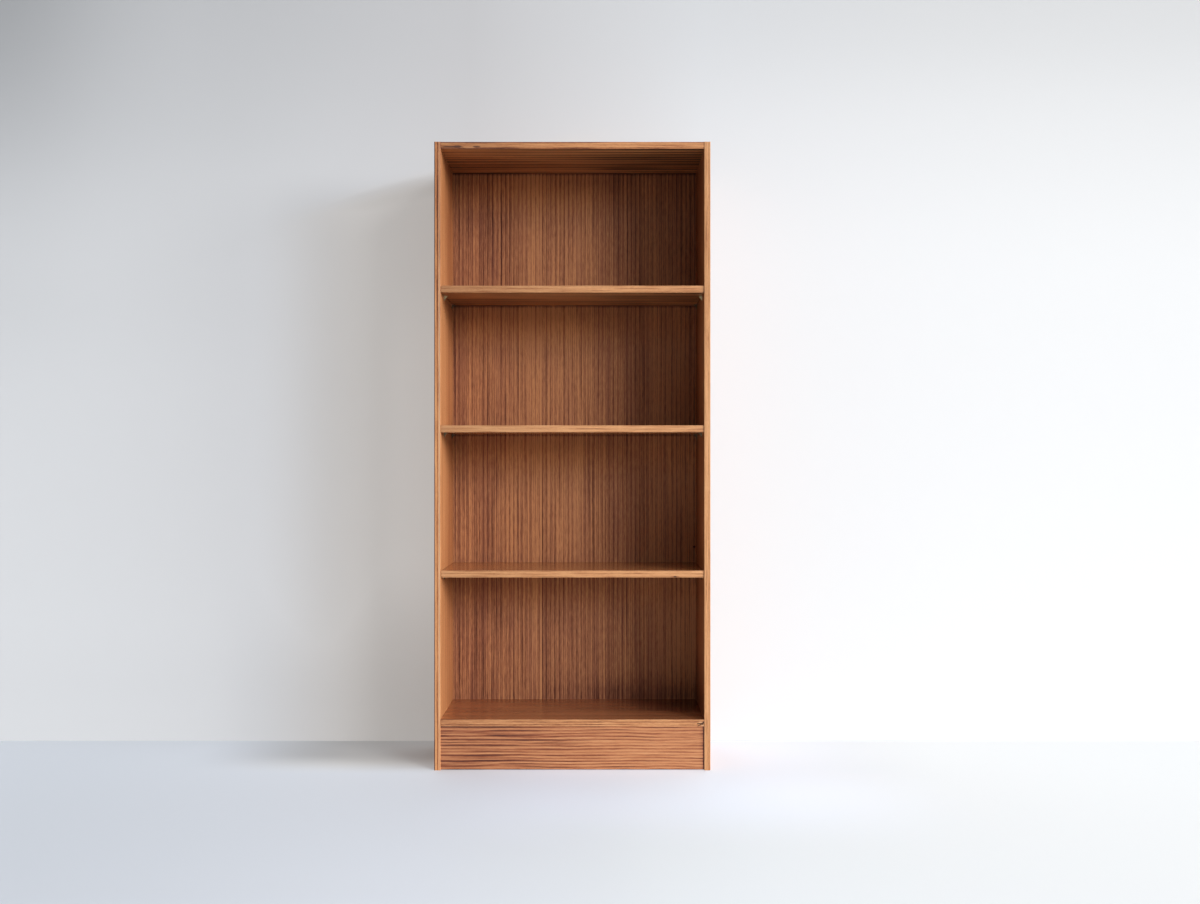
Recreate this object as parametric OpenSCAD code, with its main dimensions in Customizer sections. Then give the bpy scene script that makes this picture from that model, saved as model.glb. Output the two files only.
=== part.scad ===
// Tall open bookcase in light walnut and teak veneer, knocked down for transport.
// Two side panels carry a fixed top and a fixed bottom board on cam fittings and dowels.
// A thin back panel slides in grooves, and three shelves lie on steel supports.
// X runs to the right, Y to the rear and Z up, in millimetres.
// The origin is on the floor, under the middle of the case.

/* [Case] */
// Width over both side panels
case_width = 800; // [600:1:1000]
// Height of the side panels
case_height = 1820; // [1600:1:2200]
// Depth of the side panels with their lippings
case_depth = 300; // [260:1:400]

/* [Boards] */
// Thickness of the side panels
side_thickness = 18; // [16:0.5:25]
// Thickness of the top board, the bottom board and the shelves
board_thickness = 20; // [18:0.5:25]
// Thickness of the solid wood lipping on each front edge
lipping_thickness = 4; // [3:0.5:5]
// Radius of the rounded arrises on the lippings
arris_radius = 1.2; // [0.5:0.1:2]
// Distance of the top and bottom boards behind the front of the side panels
board_setback = 1; // [0.5:0.5:3]

/* [Plinth] */
// Height of the plinth board
plinth_height = 125; // [100:1:160]
// Thickness of the plinth board
plinth_thickness = 18; // [16:0.5:22]
// Distance of the plinth behind the front of the side panels
plinth_setback = 3; // [1:0.5:8]
// Gap between the plinth and the floor
floor_gap = 2; // [1:0.5:6]
// Height of the plinth's cam bolts above its lower edge
plinth_bolt_height = 42; // [25:1:60]
// Distance of the two upright plinth dowels from the middle of the case
plinth_dowel_spread = 190; // [80:1:240]

/* [Back panel] */
// Thickness of the back panel
back_thickness = 5; // [3:0.5:8]
// Distance of the back panel's rear face in front of the case's rear
back_inset = 10; // [6:1:20]
// Depth of the grooves in the side panels and the top board
groove_depth = 8; // [6:0.5:10]
// Gap between the back panel's edges and the bottom of the grooves
groove_end_gap = 1; // [0.5:0.5:2]
// Clearance on each face of the back panel in its grooves
groove_clearance = 0.2; // [0.1:0.05:0.5]

/* [Shelves] */
// Height of the lower shelf's underside above the floor
lower_shelf_height = 558; // [500:1:640]
// Height of the middle shelf's underside above the floor
middle_shelf_height = 979; // [880:1:1060]
// Height of the upper shelf's underside above the floor
upper_shelf_height = 1384; // [1280:1:1440]
// Distance of the shelves behind the front of the side panels
shelf_setback = 3; // [1:0.5:10]
// Gap between each end of a shelf and the side panel
shelf_end_gap = 1.5; // [0.5:0.5:3]
// Gap between a shelf's rear edge and the back panel
shelf_back_gap = 2; // [0.5:0.5:10]

/* [Shelf supports] */
// Diameter of the holes for the shelf supports
support_bore = 5; // [4:0.5:7]
// Depth of the holes for the shelf supports
support_bore_depth = 9; // [6:0.5:12]
// Radial clearance of a support's shank in its hole
support_clearance = 0.05; // [0.02:0.01:0.2]
// Gap between the end of a support's shank and the bottom of its hole
support_end_gap = 1; // [0.5:0.5:3]
// Distance of the shank's axis below the shelf's underside
shank_drop = 7; // [5:0.5:9]
// Length of the ledge under the shelf
ledge_length = 10; // [7:0.5:14]
// Width of the ledge and of the leg
support_width = 10; // [8:0.5:16]
// Height of the leg, from the shelf's underside downwards
leg_height = 13; // [11:0.5:18]
// Thickness of the support's sheet steel
sheet_thickness = 1.5; // [1:0.1:2]
// Radius of the ledge's and the leg's free corners
support_corner = 2.5; // [1:0.1:3.5]
// Thickness of the rib in the angle of the support
rib_thickness = 1.6; // [1:0.1:3]
// Length of ledge and leg that the rib leaves free
rib_margin = 1.5; // [0.5:0.1:3]
// Distance of the front row of holes behind the case's front
support_front = 80; // [50:1:100]
// Distance of the rear row of holes in front of the case's rear
support_rear = 45; // [35:1:70]
// Distance between neighbouring holes in a row
hole_pitch = 40; // [25:1:45]
// Number of spare holes above and below each shelf
spare_holes = 2; // [0:1:3]

/* [Cam fittings] */
// Diameter of the cam discs
cam_diameter = 15; // [14:0.5:17]
// Radial clearance of a cam disc or a cap in its pocket
cam_clearance = 0.1; // [0.05:0.05:0.3]
// Distance of a cam's axis from the end of its board
cam_distance = 24; // [20:1:34]
// Depth of a cam disc below its bolt's axis
cam_floor = 4; // [4:0.1:5]
// Depth of a bare cam's face below the board's face
bare_recess = 0.3; // [0.1:0.1:0.8]
// Width of the slots of the cam's cross recess
cam_slot_width = 1.6; // [1:0.1:2.2]
// Length of the slots of the cam's cross recess
cam_slot_length = 7.5; // [5:0.5:9]
// Depth of the cam's cross recess
cam_slot_depth = 3; // [2.5:0.1:3.2]
// Diameter of the bolt's head
bolt_head = 6.4; // [5.6:0.1:6.4]
// Length of the bolt's head
bolt_head_length = 2.3; // [2:0.1:2.4]
// Diameter of the bolt's neck behind the head
bolt_neck = 3.4; // [2.6:0.1:3.8]
// Diameter of the bolt's shank
bolt_shank = 6; // [5:0.1:7]
// Diameter of the bore for the shank in a board's end
bolt_bore = 8; // [7.8:0.1:9]
// Diameter of the bolt's collar, which lies on the side panel
bolt_collar = 7.4; // [6.6:0.1:7.6]
// Thickness of the bolt's collar
collar_thickness = 1.2; // [0.8:0.1:2]
// Diameter of the bolt's threaded end
bolt_thread = 5; // [4:0.1:6]
// Length of the bolt's threaded end in the side panel
bolt_thread_length = 11; // [8:0.5:12]
// Running clearance round the head and the neck inside a cam
hook_clearance = 0.3; // [0.2:0.05:0.4]
// Radius of the solid core in the middle of a cam
cam_core = 2.5; // [2:0.1:2.6]
// Radius of the cam's inner wall, which draws the head in
cam_wall = 5.3; // [5.1:0.1:5.8]
// Offset of the inner wall from the cam's axis, towards its mouth
cam_eccentricity = 0.5; // [0.2:0.1:0.7]
// Distance of the front fittings behind the case's front
fitting_front = 60; // [45:1:80]
// Distance of the rear fittings in front of the case's rear
fitting_rear = 75; // [60:1:90]

/* [Cover caps] */
// Thickness of the cover caps over the top board's cams
cap_thickness = 1.2; // [0.8:0.1:1.6]
// Depth of a cap's face below the top board's face
cap_inset = 0.1; // [0.05:0.05:0.3]
// Diameter of the peg that holds a cap in the cam
peg_diameter = 3.6; // [3:0.1:4.4]
// Length of the peg that holds a cap in the cam
peg_length = 2.2; // [1.5:0.1:2.4]
// Radial clearance of the peg in the cam
peg_clearance = 0.1; // [0.05:0.05:0.2]

/* [Dowels] */
// Diameter of the dowels
dowel_diameter = 8; // [6:0.5:8]
// Length of the dowels
dowel_length = 30; // [25:1:40]
// Length of a dowel in the side panel or the bottom board
dowel_entry = 10; // [8:0.5:12]
// Length of the chamfer at a dowel's ends
dowel_chamfer = 1; // [0.5:0.5:2]
// Radial clearance of a dowel in its holes
dowel_clearance = 0.1; // [0.05:0.05:0.2]
// Distance of each dowel from its cam bolt
dowel_offset = 32; // [24:1:40]

/* [Screws] */
// Number of screws along the back panel's lower edge
screw_count = 5; // [3:1:7]
// Distance of the outer screws from the side panels
screw_margin = 22; // [15:1:60]
// Diameter of the screws
screw_diameter = 3.5; // [3:0.5:4]
// Length of the screws under the head
screw_length = 25; // [20:1:35]
// Length of the screws' point
screw_point = 4; // [2:0.5:6]
// Diameter of the screws' head
screw_head = 7; // [6:0.5:8]
// Height of the screws' head
screw_head_height = 2.4; // [1.8:0.1:3]
// Height of the straight rim under the dome of the screws' head
screw_rim = 0.9; // [0.5:0.1:1.2]
// Angle over which the dome rises from the rim to its flat crown
screw_dome_angle = 55; // [45:5:65]
// Length of the screws' cross recess
screw_slot_length = 3.6; // [2.6:0.1:4.2]
// Width of the screws' cross recess
screw_slot_width = 1; // [0.6:0.1:1.4]
// Depth of the screws' cross recess
screw_slot_depth = 1.2; // [0.8:0.1:1.5]
// Radial clearance of a screw or a bolt's thread in its pilot hole
thread_clearance = 0.05; // [0.02:0.01:0.1]
// Radial clearance of a screw in the back panel
screw_clearance = 0.3; // [0.1:0.1:0.5]

/* [Hidden] */

$fn = 48;
// Length by which a cut runs past the face that it opens
cut = 1;
// Free length past the end of a dowel, a bolt's thread or a screw
hole_end_gap = 0.5;

front_y = -case_depth / 2;
rear_y = case_depth / 2;
inner_x = case_width / 2 - side_thickness;

side_core_front = front_y + lipping_thickness;
board_front = front_y + board_setback;
board_core_front = board_front + lipping_thickness;
shelf_front = front_y + shelf_setback;
shelf_core_front = shelf_front + lipping_thickness;

back_rear = rear_y - back_inset;
back_front = back_rear - back_thickness;
groove_front = back_front - groove_clearance;
groove_width = back_thickness + 2 * groove_clearance;
back_entry = groove_depth - groove_end_gap;
shelf_rear = back_front - shelf_back_gap;

bottom_underside = floor_gap + plinth_height;
bottom_middle = bottom_underside + board_thickness / 2;
top_underside = case_height - board_thickness;
top_middle = case_height - board_thickness / 2;
plinth_front = front_y + plinth_setback;
plinth_middle = plinth_front + plinth_thickness / 2;
plinth_bolt_z = floor_gap + plinth_bolt_height;
plinth_dowel_z = plinth_bolt_z + dowel_offset;

shelf_length = 2 * (inner_x - shelf_end_gap);
shelf_heights = [lower_shelf_height, middle_shelf_height, upper_shelf_height];
support_rows = [front_y + support_front, rear_y - support_rear];
fitting_rows = [front_y + fitting_front, rear_y - fitting_rear];
dowel_rows = [fitting_rows[0] + dowel_offset, fitting_rows[1] - dowel_offset];

capped_recess = cap_inset + cap_thickness;
hook_half_height = bolt_head / 2 + hook_clearance;
neck_half_height = bolt_neck / 2 + hook_clearance;
head_inner = cam_core + hook_clearance;
head_outer = head_inner + bolt_head_length;
neck_end = cam_diameter / 2 + 2 * hook_clearance;
peg_hole = peg_diameter + 2 * peg_clearance;
dowel_bore = dowel_diameter + 2 * dowel_clearance;
thread_bore = bolt_thread + 2 * thread_clearance;
pilot_bore = screw_diameter + 2 * thread_clearance;
screw_span = 2 * (inner_x - screw_margin);

// Angles round a cam between which its neck slot runs, with the bolt at 0 and the mouth at 90
slot_from = -62;
slot_to = 118;

// Wood and metal colours
edge_wood = [0.80, 0.58, 0.42];
face_wood = [0.58, 0.37, 0.26];
plinth_wood = [0.72, 0.48, 0.34];
dowel_wood = [0.86, 0.76, 0.58];
nickel = [0.72, 0.70, 0.66];
zinc = [0.60, 0.61, 0.62];
brown_plastic = [0.45, 0.28, 0.18];

// Repeats what it is given at the other end of the case
module both_ends() {
    children();
    mirror([1, 0, 0])
        children();
}

// Section of a lipping: X is its thickness from the front, Y is across the board's edge
module lipping_section(across) {
    translate([arris_radius, 0])
        square([lipping_thickness - arris_radius, across]);
    translate([0, arris_radius])
        square([lipping_thickness, across - 2 * arris_radius]);
    for (y = [arris_radius, across - arris_radius])
        translate([arris_radius, y])
            circle(r = arris_radius);
}

// Lipping of a level board, from its front and its underside
module level_lipping(length, front, underside) {
    translate([-length / 2, front, underside])
        rotate([90, 0, 90])
            linear_extrude(height = length)
                lipping_section(board_thickness);
}

// Upright lipping of the right side panel
module upright_lipping() {
    translate([inner_x, front_y, 0])
        mirror([1, -1, 0])
            linear_extrude(height = case_height)
                lipping_section(side_thickness);
}

// Level board, centred on the case, from its front, rear and underside
module level_board(length, front, rear, underside, thickness) {
    translate([-length / 2, front, underside])
        cube([length, rear - front, thickness]);
}

// Blind hole in the inner face of the right side panel
module side_hole(y, z, diameter, depth) {
    translate([inner_x - cut, y, z])
        rotate([0, 90, 0])
            cylinder(d = diameter, h = depth + cut);
}

// Right side panel without its lipping, drilled and grooved on its inner face
module side_core() {
    difference() {
        translate([inner_x, side_core_front, 0])
            cube([side_thickness, rear_y - side_core_front, case_height]);
        translate([inner_x - cut, groove_front, -cut])
            cube([groove_depth + cut, groove_width, case_height + 2 * cut]);
        for (z = [bottom_middle, top_middle]) {
            for (y = fitting_rows)
                side_hole(y, z, thread_bore, bolt_thread_length + hole_end_gap);
            for (y = dowel_rows)
                side_hole(y, z, dowel_bore, dowel_entry + hole_end_gap);
        }
        side_hole(plinth_middle, plinth_bolt_z, thread_bore, bolt_thread_length + hole_end_gap);
        side_hole(plinth_middle, plinth_dowel_z, dowel_bore, dowel_entry + hole_end_gap);
        for (shelf_z = shelf_heights, row_y = support_rows, step = [-spare_holes:spare_holes])
            side_hole(row_y, shelf_z - shank_drop + step * hole_pitch, support_bore, support_bore_depth);
    }
}

// The next modules share one frame: the origin is in the middle of a board's end,
// X points out of the board into the side panel and Z points out of the cam's pocket.

// Bore for a bolt and pocket for its cam
module fitting_cut(half_thickness) {
    translate([-cam_distance, 0, 0])
        rotate([0, 90, 0])
            cylinder(d = bolt_bore, h = cam_distance + cut);
    translate([-cam_distance, 0, -cam_floor])
        cylinder(d = cam_diameter + 2 * cam_clearance, h = cam_floor + half_thickness + cut);
}

// Bore for the part of a dowel that is in the board
module dowel_cut() {
    depth = dowel_length - dowel_entry + hole_end_gap;
    translate([-depth, 0, 0])
        rotate([0, 90, 0])
            cylinder(d = dowel_bore, h = depth + cut);
}

// Sector of the plane between two angles, wider than a cam
module sector(from, to) {
    steps = 6;
    reach = 2 * cam_diameter;
    turn = (to - from) / steps;
    polygon(concat(
        [[0, 0]],
        [for (i = [0:steps]) reach * [cos(from + i * turn), sin(from + i * turn)]]
    ));
}

// Cam disc that hooks the bolt's head, turned to its locked position
module cam_disc(half_thickness, recess) {
    face = half_thickness - recess;
    translate([-cam_distance, 0, 0])
        difference() {
            translate([0, 0, -cam_floor])
                cylinder(d = cam_diameter, h = cam_floor + face);
            // chamber in which the head is drawn towards the core
            translate([0, 0, -hook_half_height])
                linear_extrude(height = 2 * hook_half_height)
                    intersection() {
                        difference() {
                            translate([0, cam_eccentricity])
                                circle(r = cam_wall);
                            circle(r = cam_core);
                        }
                        sector(slot_from, slot_to);
                    }
            // slot through the wall for the neck
            translate([0, 0, -neck_half_height])
                linear_extrude(height = 2 * neck_half_height)
                    difference() {
                        sector(slot_from, slot_to);
                        circle(r = cam_core);
                    }
            // mouth through which the head goes in
            translate([-hook_half_height, cam_core, -hook_half_height])
                cube([2 * hook_half_height, cam_diameter, 2 * hook_half_height]);
            // cross recess, with a round hole for the cap's peg
            for (turn = [0, 90])
                rotate([0, 0, turn])
                    translate([-cam_slot_length / 2, -cam_slot_width / 2, face - cam_slot_depth])
                        cube([cam_slot_length, cam_slot_width, cam_slot_depth + cut]);
            translate([0, 0, face - cam_slot_depth])
                cylinder(d = peg_hole, h = cam_slot_depth + cut);
        }
}

// Cam bolt: threaded end, collar on the side panel, shank, neck and conical head
module cam_bolt() {
    rotate([0, 90, 0])
        rotate_extrude()
            polygon([
                [0, bolt_thread_length],
                [bolt_thread / 2, bolt_thread_length],
                [bolt_thread / 2, 0],
                [bolt_collar / 2, 0],
                [bolt_collar / 2, -collar_thickness],
                [bolt_shank / 2, -collar_thickness],
                [bolt_shank / 2, neck_end - cam_distance],
                [bolt_neck / 2, neck_end - cam_distance],
                [bolt_neck / 2, head_outer - cam_distance],
                [bolt_head / 2, head_outer - cam_distance - bolt_head_length / 2],
                [bolt_head / 2, head_inner - cam_distance],
                [0, head_inner - cam_distance]
            ]);
}

// Cover cap lying on a cam disc, with its peg in the cross recess
module cam_cap(half_thickness) {
    underside = half_thickness - capped_recess;
    translate([-cam_distance, 0, underside]) {
        cylinder(d = cam_diameter, h = cap_thickness);
        translate([0, 0, -peg_length])
            cylinder(d = peg_diameter, h = peg_length + cap_thickness / 2);
    }
}

// Beech dowel with chamfered ends
module dowel() {
    outer = dowel_diameter / 2;
    inner = outer - dowel_chamfer / 2;
    translate([dowel_entry - dowel_length, 0, 0])
        rotate([0, 90, 0])
            rotate_extrude()
                polygon([
                    [0, 0],
                    [inner, 0],
                    [outer, dowel_chamfer],
                    [outer, dowel_length - dowel_chamfer],
                    [inner, dowel_length],
                    [0, dowel_length]
                ]);
}

// Places of the fittings and dowels at the ends of each board
module at_top_fittings() {
    both_ends()
        for (y = fitting_rows)
            translate([inner_x, y, top_middle])
                children();
}

module at_bottom_fittings() {
    both_ends()
        for (y = fitting_rows)
            translate([inner_x, y, bottom_middle])
                mirror([0, 0, 1])
                    children();
}

module at_plinth_fittings() {
    both_ends()
        translate([inner_x, plinth_middle, plinth_bolt_z])
            rotate([-90, 0, 0])
                children();
}

module at_board_dowels(z) {
    both_ends()
        for (y = dowel_rows)
            translate([inner_x, y, z])
                children();
}

module at_plinth_end_dowels() {
    both_ends()
        translate([inner_x, plinth_middle, plinth_dowel_z])
            children();
}

module at_plinth_top_dowels() {
    both_ends()
        translate([plinth_dowel_spread, plinth_middle, bottom_underside])
            rotate([0, -90, 0])
                children();
}

module at_back_screws() {
    for (i = [0:screw_count - 1])
        translate([screw_span * (i / (screw_count - 1) - 0.5), back_rear, bottom_middle])
            rotate([-90, 0, 0])
                children();
}

// Plate with a square foot on the X axis and two rounded corners at its free end
module tongue(width, length, corner) {
    translate([-width / 2, 0])
        square([width, length - corner]);
    translate([corner - width / 2, 0])
        square([width - 2 * corner, length]);
    for (x = [corner - width / 2, width / 2 - corner])
        translate([x, length - corner])
            circle(r = corner);
}

// Shelf support: the origin is where the shank's axis meets the side panel, X points into it
module shelf_support() {
    rotate([0, 90, 0])
        translate([0, 0, -sheet_thickness / 2])
            cylinder(
                d = support_bore - 2 * support_clearance,
                h = support_bore_depth - support_end_gap + sheet_thickness / 2
            );
    // ledge under the shelf
    translate([0, 0, shank_drop - sheet_thickness])
        rotate([0, 0, 90])
            linear_extrude(height = sheet_thickness)
                tongue(support_width, ledge_length, support_corner);
    // leg on the side panel
    translate([0, 0, shank_drop])
        rotate([-90, 0, 90])
            linear_extrude(height = sheet_thickness)
                tongue(support_width, leg_height, support_corner);
    // rib in the angle
    translate([0, rib_thickness / 2, shank_drop])
        rotate([90, 0, 0])
            linear_extrude(height = rib_thickness)
                polygon([
                    [-sheet_thickness / 2, -sheet_thickness / 2],
                    [rib_margin - ledge_length, -sheet_thickness / 2],
                    [-sheet_thickness / 2, rib_margin - leg_height]
                ]);
}

// The four supports of a shelf
module support_set(shelf_z) {
    both_ends()
        for (row_y = support_rows)
            translate([inner_x, row_y, shelf_z - shank_drop])
                shelf_support();
}

// Screw with a domed head on the XY plane and its point downwards
module screw() {
    shank = screw_diameter / 2;
    head = screw_head / 2;
    steps = 3;
    step = screw_dome_angle / steps;
    dome = (screw_head_height - screw_rim) / sin(screw_dome_angle);
    difference() {
        rotate_extrude()
            polygon(concat(
                [[0, -screw_length], [shank, screw_point - screw_length], [shank, 0], [head, 0]],
                [for (i = [0:steps]) [head * cos(i * step), screw_rim + dome * sin(i * step)]],
                [[0, screw_head_height]]
            ));
        for (turn = [0, 90])
            rotate([0, 0, turn])
                translate([
                    -screw_slot_length / 2,
                    -screw_slot_width / 2,
                    screw_head_height - screw_slot_depth
                ])
                    cube([screw_slot_length, screw_slot_width, screw_slot_depth + cut]);
    }
}

// One shelf without its lipping
module shelf_core(shelf_z) {
    level_board(shelf_length, shelf_core_front, shelf_rear, shelf_z, board_thickness);
}

module side_panel_left() {
    color(face_wood)
        mirror([1, 0, 0])
            side_core();
}

module side_panel_right() {
    color(face_wood)
        side_core();
}

module side_lipping_left() {
    color(edge_wood)
        mirror([1, 0, 0])
            upright_lipping();
}

module side_lipping_right() {
    color(edge_wood)
        upright_lipping();
}

module top_board() {
    color(face_wood)
        difference() {
            level_board(2 * inner_x, board_core_front, rear_y, top_underside, board_thickness);
            translate([-inner_x - cut, groove_front, top_underside - cut])
                cube([2 * (inner_x + cut), groove_width, groove_depth + cut]);
            at_top_fittings()
                fitting_cut(board_thickness / 2);
            at_board_dowels(top_middle)
                dowel_cut();
        }
}

module top_lipping() {
    color(edge_wood)
        level_lipping(2 * inner_x, board_front, top_underside);
}

module bottom_board() {
    color(face_wood)
        difference() {
            level_board(2 * inner_x, board_core_front, back_front, bottom_underside, board_thickness);
            at_bottom_fittings()
                fitting_cut(board_thickness / 2);
            at_board_dowels(bottom_middle)
                dowel_cut();
            at_plinth_top_dowels()
                translate([-cut, 0, 0])
                    rotate([0, 90, 0])
                        cylinder(d = dowel_bore, h = dowel_entry + hole_end_gap + cut);
            at_back_screws()
                translate([0, 0, -screw_length - hole_end_gap])
                    cylinder(d = pilot_bore, h = screw_length);
        }
}

module bottom_lipping() {
    color(edge_wood)
        level_lipping(2 * inner_x, board_front, bottom_underside);
}

module plinth_board() {
    plinth_rear = plinth_front + plinth_thickness;
    color(plinth_wood)
        difference() {
            level_board(2 * inner_x, plinth_front, plinth_rear, floor_gap, plinth_height);
            at_plinth_fittings()
                fitting_cut(plinth_thickness / 2);
            at_plinth_end_dowels()
                dowel_cut();
            at_plinth_top_dowels()
                dowel_cut();
        }
}

module back_panel() {
    panel_top = top_underside + back_entry;
    panel_height = panel_top - bottom_underside;
    panel_width = 2 * (inner_x + back_entry);
    color(face_wood)
        difference() {
            level_board(panel_width, back_front, back_rear, bottom_underside, panel_height);
            at_back_screws()
                translate([0, 0, -back_thickness - cut])
                    cylinder(d = screw_diameter + 2 * screw_clearance, h = back_thickness + 2 * cut);
        }
}

module upper_shelf_board() {
    color(face_wood)
        shelf_core(upper_shelf_height);
}

module upper_shelf_lipping() {
    color(edge_wood)
        level_lipping(shelf_length, shelf_front, upper_shelf_height);
}

module middle_shelf_board() {
    color(face_wood)
        shelf_core(middle_shelf_height);
}

module middle_shelf_lipping() {
    color(edge_wood)
        level_lipping(shelf_length, shelf_front, middle_shelf_height);
}

module lower_shelf_board() {
    color(face_wood)
        shelf_core(lower_shelf_height);
}

module lower_shelf_lipping() {
    color(edge_wood)
        level_lipping(shelf_length, shelf_front, lower_shelf_height);
}

module upper_shelf_supports() {
    color(nickel)
        support_set(upper_shelf_height);
}

module middle_shelf_supports() {
    color(nickel)
        support_set(middle_shelf_height);
}

module lower_shelf_supports() {
    color(nickel)
        support_set(lower_shelf_height);
}

module top_cam_discs() {
    color(zinc)
        at_top_fittings()
            cam_disc(board_thickness / 2, capped_recess);
}

module bottom_cam_discs() {
    color(zinc)
        at_bottom_fittings()
            cam_disc(board_thickness / 2, bare_recess);
}

module plinth_cam_discs() {
    color(zinc)
        at_plinth_fittings()
            cam_disc(plinth_thickness / 2, bare_recess);
}

module top_cam_bolts() {
    color(zinc)
        at_top_fittings()
            cam_bolt();
}

module bottom_cam_bolts() {
    color(zinc)
        at_bottom_fittings()
            cam_bolt();
}

module plinth_cam_bolts() {
    color(zinc)
        at_plinth_fittings()
            cam_bolt();
}

module cam_caps() {
    color(brown_plastic)
        at_top_fittings()
            cam_cap(board_thickness / 2);
}

module top_dowels() {
    color(dowel_wood)
        at_board_dowels(top_middle)
            dowel();
}

module bottom_dowels() {
    color(dowel_wood)
        at_board_dowels(bottom_middle)
            dowel();
}

module plinth_dowels() {
    color(dowel_wood) {
        at_plinth_end_dowels()
            dowel();
        at_plinth_top_dowels()
            dowel();
    }
}

module back_panel_screws() {
    color(zinc)
        at_back_screws()
            screw();
}

side_panel_left();
side_panel_right();
side_lipping_left();
side_lipping_right();
top_board();
top_lipping();
bottom_board();
bottom_lipping();
plinth_board();
back_panel();
upper_shelf_board();
upper_shelf_lipping();
middle_shelf_board();
middle_shelf_lipping();
lower_shelf_board();
lower_shelf_lipping();
upper_shelf_supports();
middle_shelf_supports();
lower_shelf_supports();
top_cam_discs();
bottom_cam_discs();
plinth_cam_discs();
top_cam_bolts();
bottom_cam_bolts();
plinth_cam_bolts();
cam_caps();
top_dowels();
bottom_dowels();
plinth_dowels();
back_panel_screws();
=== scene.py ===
import bpy
import math
import numpy as np
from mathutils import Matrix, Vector


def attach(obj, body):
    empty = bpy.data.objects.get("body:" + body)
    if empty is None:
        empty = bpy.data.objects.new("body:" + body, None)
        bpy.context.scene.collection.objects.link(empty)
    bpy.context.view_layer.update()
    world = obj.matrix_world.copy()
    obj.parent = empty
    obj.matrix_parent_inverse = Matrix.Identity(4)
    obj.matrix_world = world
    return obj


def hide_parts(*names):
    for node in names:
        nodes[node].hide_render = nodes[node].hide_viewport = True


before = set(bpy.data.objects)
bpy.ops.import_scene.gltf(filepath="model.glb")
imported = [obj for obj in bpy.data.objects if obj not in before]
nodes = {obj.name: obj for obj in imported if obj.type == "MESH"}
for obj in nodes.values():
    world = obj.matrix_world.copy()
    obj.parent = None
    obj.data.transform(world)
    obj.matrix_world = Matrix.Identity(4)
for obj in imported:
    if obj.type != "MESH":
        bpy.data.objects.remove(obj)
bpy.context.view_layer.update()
print("case loaded,", len(nodes), "nodes")


# an object in the scene, made from its data
def placed(name, data):
    piece = bpy.data.objects.new(name, data)
    bpy.context.scene.collection.objects.link(piece)
    return piece


# a level camera, a little to the right of the case's middle
eye = {
    "stand": (0.080, -3.431, 0.887),   # metres
    "turn": (90.0, 0.0, 0.0),          # degrees
    "lens": 34.0, "sensor": 36.0,      # millimetres
    "rise": 0.010,                     # lowers the horizon 12 rows under the middle, in a frame 1200 wide
    "clear": (0.05, 60.0),             # the nearest and the farthest that is seen
}
lens = bpy.data.cameras.new("viewLens")
lens.lens, lens.sensor_width, lens.shift_y = eye["lens"], eye["sensor"], eye["rise"]
lens.clip_start, lens.clip_end = eye["clear"]
camera = placed("viewCamera", lens)
camera.location = eye["stand"]
camera.rotation_euler = tuple(map(math.radians, eye["turn"]))
bpy.context.scene.camera = camera
bpy.context.scene.view_settings.view_transform = "Standard"
print("camera set")


# a colour as it is read on a screen, 0 to 255, turned into the shader's own scale
def tone(red, green, blue):
    steps = [v / 255.0 for v in (red, green, blue)]
    return tuple(v / 12.92 if v <= 0.04045 else ((v + 0.055) / 1.055) ** 2.4 for v in steps) + (1.0,)


# one value of a shading: an expression on it adds the Math nodes it needs
class Reading:
    def __init__(self, shading, socket):
        self.shading = shading
        self.socket = socket

    def join(self, operation, *values):
        return self.shading.add("ShaderNodeMath", {"operation": operation}, dict(enumerate(values)))

    def __add__(self, other): return self.join("ADD", self, other)
    def __radd__(self, other): return self.join("ADD", other, self)
    def __sub__(self, other): return self.join("SUBTRACT", self, other)
    def __rsub__(self, other): return self.join("SUBTRACT", other, self)
    def __mul__(self, other): return self.join("MULTIPLY", self, other)
    def __rmul__(self, other): return self.join("MULTIPLY", other, self)
    def __pow__(self, other): return self.join("POWER", self, other)
    def __abs__(self): return self.join("ABSOLUTE", self)
    def floor(self): return self.join("FLOOR", self)
    def over(self, other): return self.join("GREATER_THAN", self, other)
    def higher(self, other): return self.join("MAXIMUM", self, other)

    # 0 below low, 1 above high, and a smooth rise between them; a fall where low is the greater
    def rise(self, low, high):
        return self.shading.add("ShaderNodeMapRange", {"interpolation_type": "SMOOTHSTEP"},
                                {"Value": self, "From Min": low, "From Max": high})


# the highest of several readings
def highest(readings):
    most = readings[0]
    for reading in readings[1:]:
        most = reading.higher(most)
    return most


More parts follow.
